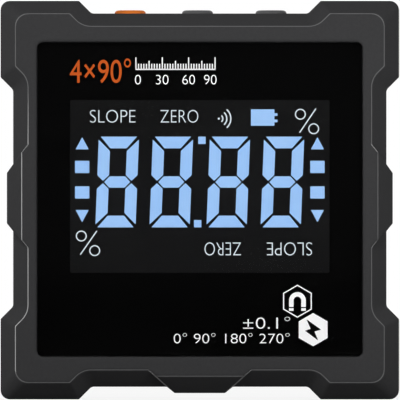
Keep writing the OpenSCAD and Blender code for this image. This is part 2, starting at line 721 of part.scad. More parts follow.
// Two leads from the end of the cell up to the plug on the board
module battery_leads() color([0.7, 0.12, 0.1]) stand() for (k = [-1, 1]) {
    x0 = cell_x + cell_l / 2;
    x1 = plug_x + k * 1.75 * lead_r;
    y0 = 2 * plug_y + k * 1.75 * lead_r;
    y1 = plug_y + 0.3 * plug_l + 0.1;
    z0 = cell_z0 + 0.45 * cell_t;
    z1 = board_back - plug_h / 2;
    translate([0, y0, z0]) to_right() rod(lead_r, x0 + 0.05, x1);
    translate([x1, y0, z0]) sphere(lead_r);
    translate([x1, y0, 0]) rod(lead_r, z0, z1);
    translate([x1, y0, z1]) sphere(lead_r);
    translate([x1, 0, z1]) to_top() rod(lead_r, y1, y0);
}

module magnet_pair(k) color(metal_colour) stand() at_magnets(k)
    rod(magnet_r, -magnet_t - magnet_sink, -magnet_sink);

module magnets_bottom() magnet_pair(0);

module magnets_right() magnet_pair(1);

module magnets_top() magnet_pair(2);

module magnets_left() magnet_pair(3);

front_housing();
rear_cover();
housing_seal();
housing_screws();
display_lens();
lens_tape();
lcd_panel();
lcd_segments();
lcd_frame();
backlight_panel();
contact_strips();
main_board();
board_screws();
processor_chip();
tilt_sensor();
buzzer();
power_switch();
hold_switch();
zero_switch();
power_plunger();
hold_plunger();
zero_plunger();
button_seal();
power_button();
hold_button();
zero_button();
usb_shell();
usb_tongue();
port_cover();
battery_cell();
battery_pad();
battery_plug();
battery_leads();
magnets_bottom();
magnets_right();
magnets_top();
magnets_left();
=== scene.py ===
# Digital angle gauge: the looks of a square magnetic tilt meter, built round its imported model.
# Everything is in metres in the model's own frame; the display faces -Y and the gauge stands on Z = 0.
import json
import math

import bmesh
import bpy
import numpy as np
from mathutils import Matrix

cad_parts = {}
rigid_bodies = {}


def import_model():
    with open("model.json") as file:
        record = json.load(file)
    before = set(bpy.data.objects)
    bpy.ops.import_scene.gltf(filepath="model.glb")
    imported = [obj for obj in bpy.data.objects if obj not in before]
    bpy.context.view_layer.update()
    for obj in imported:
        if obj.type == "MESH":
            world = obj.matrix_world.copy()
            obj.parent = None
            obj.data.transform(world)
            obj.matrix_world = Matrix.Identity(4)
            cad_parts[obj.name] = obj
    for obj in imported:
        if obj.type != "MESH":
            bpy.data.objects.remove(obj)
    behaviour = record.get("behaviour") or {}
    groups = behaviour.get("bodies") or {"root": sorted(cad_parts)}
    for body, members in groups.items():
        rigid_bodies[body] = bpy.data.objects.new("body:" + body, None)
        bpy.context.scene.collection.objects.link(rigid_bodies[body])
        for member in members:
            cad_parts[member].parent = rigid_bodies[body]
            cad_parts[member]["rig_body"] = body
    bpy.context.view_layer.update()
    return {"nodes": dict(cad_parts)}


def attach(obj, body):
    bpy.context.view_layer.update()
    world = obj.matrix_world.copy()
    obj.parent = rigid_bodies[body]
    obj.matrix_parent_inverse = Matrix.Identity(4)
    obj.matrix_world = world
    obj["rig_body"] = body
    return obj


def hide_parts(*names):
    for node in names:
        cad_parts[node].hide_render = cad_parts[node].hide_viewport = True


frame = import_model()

# The view. The display is seen square on, level with its middle, from two metres away.
# A very long lens keeps the sides of the body parallel, as in the photograph.
MM = 0.001
frame_span = 60.225 * MM
frame_middle = (0.03 * MM, 30.02 * MM)
sensor_width = 36.0
long_lens = 1200.0
nearest_clip = 0.01
bevel_start = -11.0 * MM

lens_and_film = bpy.data.cameras.new("view")
lens_and_film.lens = long_lens
lens_and_film.sensor_width = sensor_width
lens_and_film.clip_start = nearest_clip
camera = bpy.data.objects.new("view", lens_and_film)
camera.location = (
    frame_middle[0],
    bevel_start - frame_span * long_lens / sensor_width,
    frame_middle[1],
)
camera.rotation_euler = (math.radians(90), 0, 0)
bpy.context.scene.collection.objects.link(camera)
bpy.context.scene.camera = camera
bpy.context.scene.view_settings.view_transform = "Standard"


# The studio. A pale floor that runs out into white, a white room behind the gauge that
# metal and glass can mirror, lighter overhead than beside it, and a dim room behind the camera.
def link_chain(tree, *steps):
    """Joins sockets pair by pair: each step is (source socket, target socket)."""
    for source, target in steps:
        tree.links.new(source, target)


def calculate(tree, operation, first, second):
    """A maths node on two inputs, each either a socket or a plain number."""
    node = tree.nodes.new("ShaderNodeMath")
    node.operation = operation
    for socket, value in zip(node.inputs, (first, second)):
        if isinstance(value, bpy.types.NodeSocket):
            tree.links.new(value, socket)
        else:
            socket.default_value = value
    return node.outputs[0]


def ramped(tree, source, low, high, start, end):
    """A value carried smoothly from start to end while its source goes from low to high."""
    node = tree.nodes.new("ShaderNodeMapRange")
    node.interpolation_type = "SMOOTHSTEP"
    tree.links.new(source, node.inputs["Value"])
    for name, value in zip(("From Min", "From Max", "To Min", "To Max"), (low, high, start, end)):
        node.inputs[name].default_value = value
    return node.outputs[0]


ambient = 0.08
dim_front, dim_side, upper_room = 0.025, 0.3, 0.45
front_edge, rear_edge, upper_edge = (-0.6, -0.2), (0.25, 0.6), (0.06, 0.2)
room = bpy.data.worlds.new("studio_room")
room.use_nodes = True
bpy.context.scene.world = room
tree = room.node_tree
ray = tree.nodes.new("ShaderNodeLightPath")
direction = tree.nodes.new("ShaderNodeSeparateXYZ")
tree.links.new(tree.nodes.new("ShaderNodeTexCoord").outputs["Generated"], direction.inputs[0])
mirrored = calculate(tree, "MAXIMUM", ray.outputs["Is Glossy Ray"], ray.outputs["Is Transmission Ray"])
backdrop = calculate(
    tree,
    "ADD",
    ramped(tree, direction.outputs["Y"], *front_edge, dim_front, dim_side),
    ramped(tree, direction.outputs["Y"], *rear_edge, 0.0, 1.0 - dim_side),
)
above = ramped(tree, direction.outputs["Z"], *upper_edge, 0.0, upper_room)
shown = calculate(tree, "MULTIPLY", mirrored, calculate(tree, "MAXIMUM", backdrop, above))
white = calculate(tree, "MAXIMUM", ray.outputs["Is Camera Ray"], shown)
unmirrored = calculate(tree, "SUBTRACT", 1.0, mirrored)
dim = calculate(tree, "MULTIPLY", unmirrored, ambient)
background = tree.nodes["Background"]
background.inputs["Color"].default_value = (1, 1, 1, 1)
tree.links.new(calculate(tree, "MAXIMUM", white, dim), background.inputs["Strength"])

floor_half = 3.0
floor_white, floor_paint, front_dimming = 0.9, 0.4, 0.33
behind_zone, fade_zone = (-0.02, 0.15), (0.08, 0.4)
floor_mesh = bpy.data.meshes.new("studio_floor")
floor_corners = np.array([[-1, -1, 0], [1, -1, 0], [1, 1, 0], [-1, 1, 0]]) * floor_half
floor_mesh.from_pydata(floor_corners.tolist(), [], [[0, 1, 2, 3]])
studio_floor = bpy.data.objects.new("studio_floor", floor_mesh)
bpy.context.scene.collection.objects.link(studio_floor)

pale_floor = bpy.data.materials.new("pale_floor")
pale_floor.use_nodes = True
tree = pale_floor.node_tree
tree.nodes.clear()
ray = tree.nodes.new("ShaderNodeLightPath")
away = tree.nodes.new("ShaderNodeVectorMath")
away.operation = "LENGTH"
tree.links.new(tree.nodes.new("ShaderNodeTexCoord").outputs["Object"], away.inputs[0])
spot = tree.nodes.new("ShaderNodeSeparateXYZ")
tree.links.new(tree.nodes.new("ShaderNodeTexCoord").outputs["Object"], spot.inputs[0])
behind = ramped(tree, spot.outputs["Y"], *behind_zone, 0.0, 1.0)
mirrored = calculate(tree, "MAXIMUM", ray.outputs["Is Glossy Ray"], ray.outputs["Is Transmission Ray"])
seen = calculate(
    tree, "MAXIMUM", ray.outputs["Is Camera Ray"], calculate(tree, "MULTIPLY", mirrored, behind)
)
fade = ramped(tree, away.outputs["Value"], *fade_zone, floor_white, 1.0)
matt = tree.nodes.new("ShaderNodeBsdfDiffuse")
in_front = calculate(tree, "MULTIPLY", mirrored, calculate(tree, "SUBTRACT", 1.0, behind))
paint = calculate(tree, "SUBTRACT", floor_paint, calculate(tree, "MULTIPLY", in_front, front_dimming))
tree.links.new(paint, matt.inputs["Color"])
bright = tree.nodes.new("ShaderNodeEmission")
mixed = tree.nodes.new("ShaderNodeMixShader")
out = tree.nodes.new("ShaderNodeOutputMaterial")
link_chain(
    tree,
    (calculate(tree, "MULTIPLY", seen, fade), mixed.inputs[0]),
    (matt.outputs[0], mixed.inputs[1]),
    (bright.outputs[0], mixed.inputs[2]),
    (mixed.outputs[0], out.inputs["Surface"]),
)
floor_mesh.materials.append(pale_floor)

mid_height = 30.0 * MM


def softbox(name, turn, rise, reach, size, level, mirrored=True):
    """A square lamp aimed at the gauge's middle. Turn is degrees to the right of the camera, rise is
    degrees above the horizon; level is the share of full light that it gives a face turned to it.
    Mirrored says whether bright metal shows the lamp."""
    lamp = bpy.data.lights.new(name, "AREA")
    lamp.size = size
    lamp.energy = level * math.pi**2 * reach**2
    holder = bpy.data.objects.new(name, lamp)
    a, e = math.radians(turn), math.radians(rise)
    towards = np.array([math.sin(a) * math.cos(e), -math.cos(a) * math.cos(e), math.sin(e)])
    holder.location = towards * reach + np.array([0, 0, mid_height])
    holder.rotation_euler = (math.radians(90) - e, 0, a)
    holder.visible_glossy = mirrored
    bpy.context.scene.collection.objects.link(holder)


softbox("front_softbox", -12, 29, 0.19, 0.08, 0.56, mirrored=False)
softbox("right_softbox", 36, 8, 0.13, 0.06, 0.31)
softbox("side_softbox", -78, 8, 0.4, 0.18, 0.32)
softbox("rear_softbox", 180, 20, 0.6, 0.3, 0.3, mirrored=False)
softbox("rear_left_softbox", -150, 16, 0.7, 0.32, 0.6, mirrored=False)
softbox("rear_right_softbox", 150, 16, 0.7, 0.32, 0.7, mirrored=False)


# Rear cover: the back half of the body, injection moulded in dark grey plastic with a fine
# spark-eroded grain. It locates in the front half by a lip and four screws pull it up.
half_depth = 14.0 * MM
bevel_depth = 3.2 * MM
edge_depths = (0.02 * MM, 0.06 * MM)
rear_window = (25.5 * MM, 25.5 * MM)
# No side of the back face's edge gets the full painted highlight.
nowhere_lit = (-1, 0, 0)
pad_zone = (9.0 * MM, 5.0 * MM)
wall_lean = 0.3
# Shares of a painted highlight: lighter colour laid on the housing's edges and creases where lamps would
# glint.
pad_highlight = 0.5
weak_highlight = 0.25
steep_highlight = 0.8
steep_reach = 0.25 * MM
steep_cosines = (0.9, 0.96)
steep_samples, soft_samples = 8, 6
corner_softness = 0.8 * MM
weld_reach = 0.0005 * MM
flat_turn, curve_turn = 0.2, 24
tone_spread, rough_spread, relief_share = (0.3, 0.7), (0.25, 0.75), 0.6


def tone(red, green, blue):
    """Linear colour of an 8-bit display colour: the lower part is a straight line, the rest a 2.4 power."""
    share = np.array([red, green, blue]) / 255
    line = np.where(share <= 0.04045, share / 12.92, ((share + 0.055) / 1.055) ** 2.4)
    return (*line.tolist(), 1.0)


def surface(name, dark, light, grain, rough, height=0.0, metal=0.0, specular=0.5, stretch=(1, 1, 1)):
    """A finish whose colour wanders between two tones and whose roughness between two values by one
    noise of the given grain, in mm; a second noise, three times finer, raises it by height, in mm.
    Stretch multiplies the noise frequency along X, Y and Z, for drawn or brushed streaks."""
    material = bpy.data.materials.new(name)
    material.use_nodes = True
    tree = material.node_tree
    shader = tree.nodes["Principled BSDF"]
    shader.inputs["Metallic"].default_value = metal
    shader.inputs["Specular IOR Level"].default_value = specular
    place = tree.nodes.new("ShaderNodeMapping")
    place.inputs["Scale"].default_value = stretch
    tree.links.new(tree.nodes.new("ShaderNodeTexCoord").outputs["Object"], place.inputs["Vector"])
    clouds = tree.nodes.new("ShaderNodeTexNoise")
    clouds.inputs["Scale"].default_value = 1 / (grain * MM)
    clouds.inputs["Detail"].default_value = 4.0
    tones = tree.nodes.new("ShaderNodeValToRGB")
    tones.name = "tones"
    tones.color_ramp.elements[0].position = tone_spread[0]
    tones.color_ramp.elements[0].color = dark
    tones.color_ramp.elements[1].position = tone_spread[1]
    tones.color_ramp.elements[1].color = light
    link_chain(
        tree,
        (place.outputs[0], clouds.inputs["Vector"]),
        (clouds.outputs[0], tones.inputs[0]),
        (tones.outputs[0], shader.inputs["Base Color"]),
        (ramped(tree, clouds.outputs[0], *rough_spread, *rough), shader.inputs["Roughness"]),
    )
    if height:
        fine = tree.nodes.new("ShaderNodeTexNoise")
        fine.inputs["Scale"].default_value = 3 / (grain * MM)
        fine.inputs["Detail"].default_value = 2.0
        relief = tree.nodes.new("ShaderNodeBump")
        relief.name = "relief"
        relief.inputs["Strength"].default_value = relief_share
        relief.inputs["Distance"].default_value = height * MM
        link_chain(
            tree,
            (place.outputs[0], fine.inputs["Vector"]),
            (fine.outputs[0], relief.inputs["Height"]),
            (relief.outputs[0], shader.inputs["Normal"]),
        )
    return material


def dress(material, *nodes):
    """Puts a finish on nodes that keep their own shape."""
    for node in nodes:
        for slot in frame["nodes"][node].material_slots:
            slot.material = material


def paint_edge_highlight(material, colour):
    """Lays a lighter colour as a painted highlight on the edge points given a share by the marking step,
    and on steep edges within the rim attribute's zone, where a rounded normal leans well away from the
    surface's own."""
    tree = material.node_tree
    shader = tree.nodes["Principled BSDF"]
    painted_highlight = tree.nodes.new("ShaderNodeAttribute")
    painted_highlight.attribute_name = "painted_highlight"
    rim = tree.nodes.new("ShaderNodeAttribute")
    rim.attribute_name = "rim"
    rounded = tree.nodes.new("ShaderNodeBevel")
    rounded.samples = steep_samples
    rounded.inputs["Radius"].default_value = steep_reach
    lean = tree.nodes.new("ShaderNodeVectorMath")
    lean.operation = "DOT_PRODUCT"
    tree.links.new(rounded.outputs[0], lean.inputs[0])
    tree.links.new(tree.nodes.new("ShaderNodeNewGeometry").outputs["Normal"], lean.inputs[1])
    steep = ramped(tree, lean.outputs["Value"], *steep_cosines, steep_highlight, 0.0)
    highlighted = calculate(
        tree, "MAXIMUM", painted_highlight.outputs["Fac"], calculate(tree, "MULTIPLY", rim.outputs["Fac"], steep)
    )
    laid = tree.nodes.new("ShaderNodeMix")
    laid.data_type = "RGBA"
    laid.inputs[7].default_value = colour
    link_chain(
        tree,
        (highlighted, laid.inputs[0]),
        (tree.nodes["tones"].outputs[0], laid.inputs[6]),
        (laid.outputs[2], shader.inputs["Base Color"]),
    )


def joined(node, name, crease=curve_turn):
    """A copy of a node with its loose triangles joined and those of one plane merged. Edges that turn less
    than the crease angle shade as one curve, the rest stay crisp, and normals follow the larger faces so
    that flats stay flat."""
    mesh = frame["nodes"][node].data.copy()
    mesh.name = name
    work = bmesh.new()
    work.from_mesh(mesh)
    bmesh.ops.remove_doubles(work, verts=work.verts, dist=weld_reach)
    bmesh.ops.dissolve_limit(
        work, angle_limit=math.radians(flat_turn), verts=work.verts, edges=work.edges
    )
    work.to_mesh(mesh)
    work.free()
    mesh.shade_smooth()
    mesh.set_sharp_from_angle(angle=math.radians(crease))
    piece = bpy.data.objects.new(name, mesh)
    bpy.context.scene.collection.objects.link(piece)
    flats = piece.modifiers.new("flats", "WEIGHTED_NORMAL")
    flats.keep_sharp = True
    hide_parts(node)
    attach(piece, frame["nodes"][node]["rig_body"])
    return piece


def mark_painted_highlight(piece, face, depths, window, lit_zone):
    """Sets rim to 1 on the points of the flat face at Y = face and of the bevel round it, apart from those
    within the window's half width and height. It also sets each point's share of a painted highlight: 0 but
    for the points half way round the bezel's rounded edge, between two depths below the face, which get the
    weak share, or 1 on the side where the light falls, left of an x and between two heights. The points of
    the bottom pad's two end walls, which stand nearly square to the face right across the bevel, get the
    pad's share."""
    mesh = piece.data
    points = np.empty(len(mesh.vertices) * 3)
    mesh.vertices.foreach_get("co", points)
    x, y, z = points.reshape(-1, 3).T
    below = abs(face) - np.abs(y)
    same_side = np.sign(y) == np.sign(face)
    outside = (np.abs(x) > window[0]) | (np.abs(z - mid_height) > window[1])
    on_rim = same_side & outside & (below < bevel_depth)
    on_edge = on_rim & (below > depths[0]) & (below < depths[1])
    strength = np.where((x < lit_zone[0]) & (z > lit_zone[1]) & (z < lit_zone[2]), 1.0, weak_highlight)
    corners = np.empty(len(mesh.loops), dtype=np.int32)
    mesh.loops.foreach_get("vertex_index", corners)
    starts, counts = np.empty((2, len(mesh.polygons)), dtype=np.int32)
    mesh.polygons.foreach_get("loop_start", starts)
    mesh.polygons.foreach_get("loop_total", counts)
    normals = np.empty(len(mesh.polygons) * 3)
    mesh.polygons.foreach_get("normal", normals)
    square = np.abs(normals.reshape(-1, 3)[:, 1]) < wall_lean
    near_pad = on_rim & (np.abs(x) < pad_zone[0]) & (z < pad_zone[1])
    low = np.minimum.reduceat(near_pad[corners], starts)
    across = np.maximum.reduceat(y[corners], starts) - np.minimum.reduceat(y[corners], starts)
    end_walls = square & low & (across > bevel_depth / 2)
    on_ends = np.isin(np.arange(len(x)), corners[np.repeat(end_walls, counts)])
    painted_highlight = np.maximum(on_edge * strength, on_ends * pad_highlight)
    for name, values in (("rim", on_rim), ("painted_highlight", painted_highlight)):
        attribute = mesh.attributes.new(name, "FLOAT", "POINT")
        attribute.data.foreach_set("value", values.astype(np.float32))


housing_plastic = surface(
    "housing_plastic", tone(54, 54, 55), tone(58, 58, 59), 0.5, (0.62, 0.74), height=0.012, specular=0.05
)
# The light grey laid here is a painted highlight on the bezel edge, pad end walls and steep creases, not
# the plastic's colour.
paint_edge_highlight(housing_plastic, tone(196, 196, 197))
soft_corners = housing_plastic.node_tree.nodes.new("ShaderNodeBevel")
soft_corners.samples = soft_samples
soft_corners.inputs["Radius"].default_value = corner_softness
relief = housing_plastic.node_tree.nodes["relief"]
housing_plastic.node_tree.links.new(soft_corners.outputs[0], relief.inputs["Normal"])
rear_shell = joined("rear_cover", "rear_shell")
# The back face's rounded edge gets the weak painted highlight all round.
mark_painted_highlight(rear_shell, half_depth, edge_depths, rear_window, nowhere_lit)
rear_shell.data.materials.clear()
rear_shell.data.materials.append(housing_plastic)

# Sealing ring: one black silicone moulding pressed into the groove of the rear cover, so that
# dust and splashes stay out at the seam.
seal_rubber = surface("seal_rubber", tone(20, 20, 21), tone(32, 32, 33), 0.8, (0.5, 0.75), height=0.01)
dress(seal_rubber, "housing_seal")

# Housing screws: four cross-recessed pan-head screws of zinc-plated steel, sunk in the back
# and driven into the corner posts of the front half.
screw_steel = surface(
    "screw_steel", tone(150, 152, 156), tone(186, 188, 192), 0.6, (0.32, 0.42), height=0.0015, metal=1.0
)
dress(screw_steel, "housing_screws")

# Battery: a pouch cell in crinkled aluminium foil on a black foam pad, inside the rib frame of
# the rear cover, with two sleeved leads to a plug of natural nylon.
cell_foil = surface(
    "cell_foil", tone(168, 172, 178), tone(214, 217, 222), 3.5, (0.25, 0.45), height=0.12, metal=0.85
)
dress(cell_foil, "battery_cell")
adhesive_foam = surface(
    "adhesive_foam", tone(6, 6, 6), tone(11, 11, 11), 0.3, (0.85, 0.95), height=0.05, specular=0.1
)
dress(adhesive_foam, "battery_pad")
nylon_glow, nylon_depth = 0.2, 0.5 * MM
plunger_plastic = surface(
    "plunger_plastic", tone(226, 222, 208), tone(240, 237, 226), 1.5, (0.4, 0.55), height=0.006
)
shader = plunger_plastic.node_tree.nodes["Principled BSDF"]
shader.inputs["Subsurface Weight"].default_value = nylon_glow
shader.inputs["Subsurface Scale"].default_value = nylon_depth
dress(plunger_plastic, "battery_plug")

lead_corner = (17.0 * MM, 38.0 * MM)
lead_sleeve = surface("lead_sleeve", tone(150, 18, 16), tone(186, 30, 26), 0.7, (0.35, 0.5), height=0.008)
tree = lead_sleeve.node_tree
along = tree.nodes.new("ShaderNodeSeparateXYZ")
tree.links.new(tree.nodes.new("ShaderNodeTexCoord").outputs["Object"], along.inputs[0])
outer_lead = calculate(
    tree,
    "GREATER_THAN",
    calculate(
        tree,
        "MAXIMUM",
        calculate(tree, "SUBTRACT", along.outputs["X"], lead_corner[0]),
        calculate(tree, "SUBTRACT", along.outputs["Z"], lead_corner[1]),
    ),
    0.0,
)
two_sleeves = tree.nodes.new("ShaderNodeMix")
two_sleeves.data_type = "RGBA"
two_sleeves.inputs[6].default_value = tone(24, 24, 25)
link_chain(
    tree,
    (outer_lead, two_sleeves.inputs[0]),
    (tree.nodes["tones"].outputs[0], two_sleeves.inputs[7]),
    (two_sleeves.outputs[2], tree.nodes["Principled BSDF"].inputs["Base Color"]),
)
dress(lead_sleeve, "battery_leads")

# Circuit board: green solder mask over etched copper on glass-fibre laminate, held on four posts
# of the front half by small plated screws. Tracks show as raised, lighter lines under the mask.
track_pitch = 4.4 * MM
track_edge = (0.04, 0.07)
track_step = 0.03 * MM
board_laminate = surface("board_laminate", tone(10, 58, 34), tone(20, 84, 50), 6.0, (0.25, 0.4))
tree = board_laminate.node_tree
shader = tree.nodes["Principled BSDF"]
tracks = tree.nodes.new("ShaderNodeTexVoronoi")
tracks.distance = "MANHATTAN"
tracks.feature = "DISTANCE_TO_EDGE"
tracks.inputs["Scale"].default_value = 1 / track_pitch
tree.links.new(tree.nodes.new("ShaderNodeTexCoord").outputs["Object"], tracks.inputs["Vector"])
copper = ramped(tree, tracks.outputs["Distance"], *track_edge, 1.0, 0.0)
masked = tree.nodes.new("ShaderNodeMix")
masked.data_type = "RGBA"
masked.inputs[7].default_value = tone(38, 118, 66)
step = tree.nodes.new("ShaderNodeBump")
step.inputs["Distance"].default_value = track_step
link_chain(
    tree,
    (copper, masked.inputs[0]),
    (tree.nodes["tones"].outputs[0], masked.inputs[6]),
    (masked.outputs[2], shader.inputs["Base Color"]),
    (copper, step.inputs["Height"]),
    (step.outputs[0], shader.inputs["Normal"]),
)
dress(board_laminate, "main_board")
dress(screw_steel, "board_screws")

# Chips, buzzer and switches: black moulded packages soldered to the back of the board. The
# three switch plungers are natural nylon and carry the buttons.
chip_plastic = surface("chip_plastic", tone(24, 24, 25), tone(38, 38, 39), 0.4, (0.55, 0.75), height=0.01)
dress(chip_plastic, "processor_chip", "tilt_sensor", "buzzer")
switch_plastic = surface(
    "switch_plastic", tone(30, 30, 32), tone(46, 46, 48), 0.9, (0.4, 0.6), height=0.008
)
dress(switch_plastic, "power_switch", "hold_switch", "zero_switch")
dress(plunger_plastic, "power_plunger", "hold_plunger", "zero_plunger")

# Charging socket: a shell of formed stainless sheet round a black tongue, soldered to the board
# with its mouth in the right side wall. Drawing the sheet leaves fine streaks along X.
socket_steel = surface(
    "socket_steel", tone(168, 169, 171), tone(205, 206, 208), 1.2, (0.18, 0.36), height=0.004, metal=1.0,
    stretch=(0.12, 1, 1)
)
dress(socket_steel, "usb_shell")
dress(chip_plastic, "usb_tongue")

# Display stack: a milky light panel and two striped contact rubbers in an open white frame,
# clamped between the display glass and the board.
panel_glow, panel_depth = 0.3, 1.0 * MM
light_panel = surface(
    "light_panel", tone(222, 228, 234), tone(240, 244, 248), 4.0, (0.3, 0.45), height=0.01
)
shader = light_panel.node_tree.nodes["Principled BSDF"]
shader.inputs["Subsurface Weight"].default_value = panel_glow
shader.inputs["Subsurface Scale"].default_value = panel_depth
dress(light_panel, "backlight_panel")
frame_plastic = surface(
    "frame_plastic", tone(212, 212, 206), tone(226, 226, 220), 1.4, (0.5, 0.65), height=0.008
)
dress(frame_plastic, "lcd_frame")

stripe_pitch = 0.36 * MM
wave_scale = 2 * math.pi / 20
stripe_edge = (0.4, 0.6)
contact_rubber = surface(
    "contact_rubber", tone(188, 104, 122), tone(206, 124, 140), 1.0, (0.5, 0.7), height=0.01
)
tree = contact_rubber.node_tree
stripes = tree.nodes.new("ShaderNodeTexWave")
stripes.bands_direction = "X"
stripes.inputs["Scale"].default_value = wave_scale / stripe_pitch
tree.links.new(tree.nodes.new("ShaderNodeTexCoord").outputs["Object"], stripes.inputs["Vector"])
layered = tree.nodes.new("ShaderNodeMix")
layered.data_type = "RGBA"
layered.inputs[7].default_value = tone(38, 34, 35)
link_chain(
    tree,
    (ramped(tree, stripes.outputs["Fac"], *stripe_edge, 0.0, 1.0), layered.inputs[0]),
    (tree.nodes["tones"].outputs[0], layered.inputs[6]),
    (layered.outputs[2], tree.nodes["Principled BSDF"].inputs["Base Color"]),
)
dress(contact_rubber, "contact_strips")

# Display glass: two sheets of glass with a dark polariser on the front. The light behind it
# leaks through a little, so the whole glass glows faintly and unevenly.
leak_grain = 26 * MM
display_glass = surface("display_glass", tone(5, 5, 5), tone(8, 8, 8), 9.0, (0.16, 0.26), specular=0.2)
tree = display_glass.node_tree
leak = tree.nodes.new("ShaderNodeTexNoise")
leak.inputs["Scale"].default_value = 1 / leak_grain
tree.links.new(tree.nodes.new("ShaderNodeTexCoord").outputs["Object"], leak.inputs["Vector"])
glow = tree.nodes.new("ShaderNodeValToRGB")
glow.color_ramp.elements[0].color = tone(14, 14, 15)
glow.color_ramp.elements[1].color = tone(17, 17, 17)
link_chain(
    tree,
    (leak.outputs[0], glow.inputs[0]),
    (glow.outputs[0], tree.nodes["Principled BSDF"].inputs["Emission Color"]),
)
tree.nodes["Principled BSDF"].inputs["Emission Strength"].default_value = 1.0
dress(display_glass, "lcd_panel")

# Lit marks: the figures, points and arrows of the display, clear in the dark polariser, so the
# pale blue light behind shows through them. Their glow wanders a little between two blues.
glass_front = -11.9 * MM
mark_rise = 0.05 * MM
glow_grain = 5 * MM
glow_spread = (0.25, 0.75)
outline_weld = 1e-4


def lit_finish(name, low, high):
    """A glowing finish that wanders between two blues, with next to no reflection of its own."""
    material = surface(name, tone(20, 24, 30), tone(26, 30, 36), 2.0, (0.3, 0.4))
    tree = material.node_tree
    uneven = tree.nodes.new("ShaderNodeTexNoise")
    uneven.inputs["Scale"].default_value = 1 / glow_grain
    tree.links.new(tree.nodes.new("ShaderNodeTexCoord").outputs["Object"], uneven.inputs["Vector"])
    blues = tree.nodes.new("ShaderNodeValToRGB")
    blues.color_ramp.elements[0].position = glow_spread[0]
    blues.color_ramp.elements[0].color = low
    blues.color_ramp.elements[1].position = glow_spread[1]
    blues.color_ramp.elements[1].color = high
    link_chain(
        tree,
        (uneven.outputs[0], blues.inputs[0]),
        (blues.outputs[0], tree.nodes["Principled BSDF"].inputs["Emission Color"]),
    )
    tree.nodes["Principled BSDF"].inputs["Emission Strength"].default_value = 1.0
    return material


display_marks = lit_finish("display_marks", tone(156, 201, 255), tone(164, 206, 255))
dress(display_marks, "lcd_segments")


def ribbon(path, width, closed=False):
    """Two edges of a flat stroke: the path moved half the width to its left and to its right, with the
    moves lengthened at corners so that the width stays even (mitred corners)."""
    path = np.asarray(path, float)
    steps = np.roll(path, -1, axis=0) - path
    steps = steps / np.maximum(np.linalg.norm(steps, axis=1, keepdims=True), 1e-12)
    after = np.stack([-steps[:, 1], steps[:, 0]], axis=1)
    before = np.roll(after, 1, axis=0)
    if not closed:
        after[-1] = before[-1]
        before[0] = after[0]
    lean = (after + before) / (1 + (after * before).sum(axis=1, keepdims=True))
    return path + lean * width / 2, path - lean * width / 2, closed


def bow(middle, radius, start, end, steps):
    """Points of a circular arc: the middle plus the radius turned evenly from one angle to another."""
    turn = np.radians(np.linspace(start, end, steps))
    return np.asarray(middle) + radius * np.stack([np.cos(turn), np.sin(turn)], axis=1)


def ring(middle, radius, steps=40):
    """Points of a full circle, without the last one that would repeat the first."""
    return bow(middle, radius, 0, 360, steps + 1)[:-1]


def raised(strips, face, rise):
    """Thin closed solids from strips in the plane of the display, given in mm as left edge, right edge
    and whether they close. Each strip's edges are swept from the face at Y = face out to face - rise."""
    points, faces = [], []
    for left, right, closed in strips:
        n = len(left)
        base = sum(len(p) for p in points)
        edges = np.concatenate([left, right, left, right]) * MM
        depth = np.repeat([face - rise, face - rise, face, face], n)
        points.append(np.stack([edges[:, 0], depth, edges[:, 1]], axis=1))
        i = np.arange(n if closed else n - 1)
        j = (i + 1) % n
        left_out, right_out, left_in, right_in = (base + k * n + i for k in range(4))
        left_out2, right_out2, left_in2, right_in2 = (base + k * n + j for k in range(4))
        faces += np.stack([right_out, right_out2, left_out2, left_out], axis=1).tolist()
        faces += np.stack([left_in, left_in2, right_in2, right_in], axis=1).tolist()
        faces += np.stack([left_out, left_out2, left_in2, left_in], axis=1).tolist()
        faces += np.stack([right_in, right_in2, right_out2, right_out], axis=1).tolist()
        if not closed:
            corners = base + np.arange(4) * n
            faces.append([int(corners[k]) for k in (0, 2, 3, 1)])
            faces.append([int(corners[k]) + n - 1 for k in (1, 3, 2, 0)])
    return np.concatenate(points), faces


def figures(body, box, face, rise, turned=False, slim=0.0):
    """Plain sans figures as thin solids: the built-in font's outline, stretched so that it fills the box
    (left, right, low, high in mm), turned half round if asked, and swept by rise from Y = face. Slim is the
    share of the letter size by which each edge of a stroke moves inwards."""
    outline = bpy.data.curves.new("outline", "FONT")
    outline.body = body
    outline.extrude = 0.5
    outline.offset = -slim
    outline.resolution_u = 6
    carrier = bpy.data.objects.new("outline", outline)
    bpy.context.scene.collection.objects.link(carrier)
    bpy.context.view_layer.update()
    mesh = bpy.data.meshes.new_from_object(carrier.evaluated_get(bpy.context.evaluated_depsgraph_get()))
    work = bmesh.new()
    work.from_mesh(mesh)
    bmesh.ops.remove_doubles(work, verts=work.verts, dist=outline_weld)
    bmesh.ops.recalc_face_normals(work, faces=work.faces)
    work.to_mesh(mesh)
    work.free()
    drawn = np.empty(len(mesh.vertices) * 3)
    mesh.vertices.foreach_get("co", drawn)
    drawn = drawn.reshape(-1, 3)
    low, high = drawn.min(axis=0), drawn.max(axis=0)
    share = (drawn - low) / (high - low)
    across = 1 - share[:, :2] if turned else share[:, :2]
    x = box[0] + across[:, 0] * (box[1] - box[0])
    z = box[2] + across[:, 1] * (box[3] - box[2])
    points = np.stack([x * MM, face - rise * share[:, 2], z * MM], axis=1)
    faces = [list(p.vertices) for p in mesh.polygons]
    bpy.data.objects.remove(carrier)
    bpy.data.curves.remove(outline)
    bpy.data.meshes.remove(mesh)
    return points, faces


